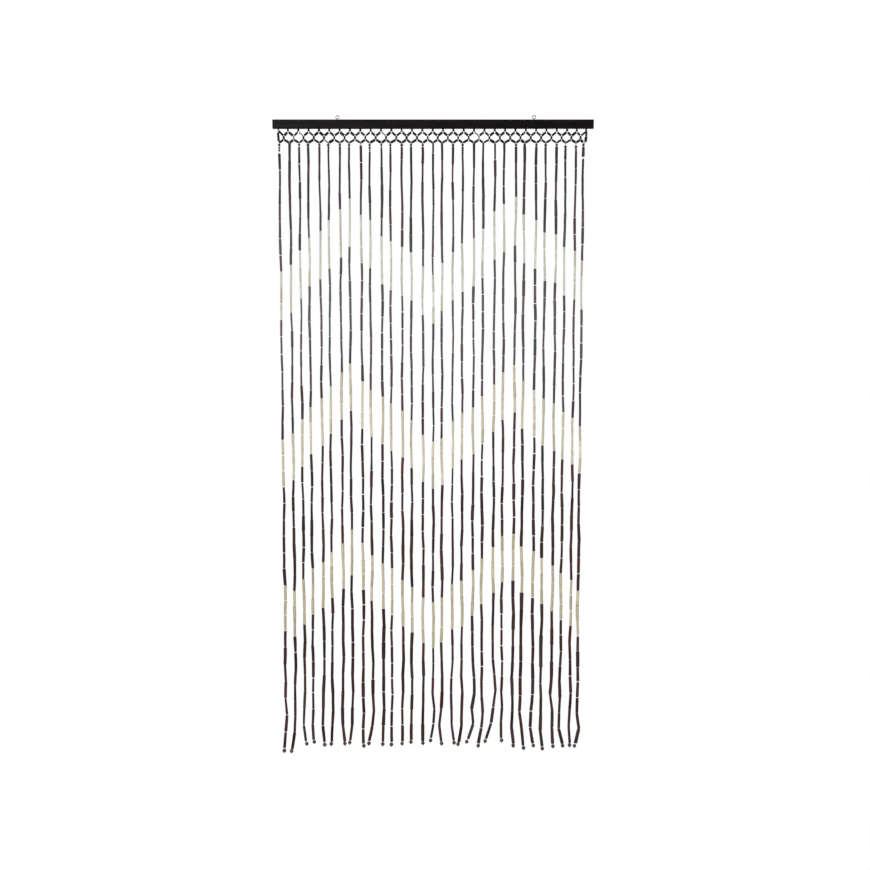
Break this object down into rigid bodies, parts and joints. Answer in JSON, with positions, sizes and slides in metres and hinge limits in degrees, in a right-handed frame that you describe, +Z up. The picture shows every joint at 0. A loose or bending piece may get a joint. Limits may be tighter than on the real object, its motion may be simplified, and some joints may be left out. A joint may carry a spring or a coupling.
{
  "type": "bamboo bead door curtain with wooden rail",
  "caption": "Door curtain of dark bamboo tubes on threads, with light zigzag bands, a net heading of diamonds and a ball on each string, on a black wooden rail with ring eyes.",
  "frame": {"origin": "middle of the rail's top face, in its depth and its length; the curtain hangs below it", "axes": "+Z up, along the strings; +X along the rail to the right as seen from the front; the front faces -Y"},
  "size_m": [0.9, 0.02, 1.8406],
  "materials": {
    "painted_wood": "black paint over open grain, low sheen",
    "steel_wire": "bright zinc-plated wire",
    "dark_bamboo": "dark brown stained bamboo, satin",
    "light_bamboo": "natural bamboo, satin",
    "ball_wood": "brown stained wood, satin",
    "thread": "twisted twine"
  },
  "bodies": {
    "root": {"rail": "painted_wood", "screw_eye_left": "steel_wire", "screw_eye_right": "steel_wire", "bead_net": "dark_bamboo"}
  },
  "joints": []
}
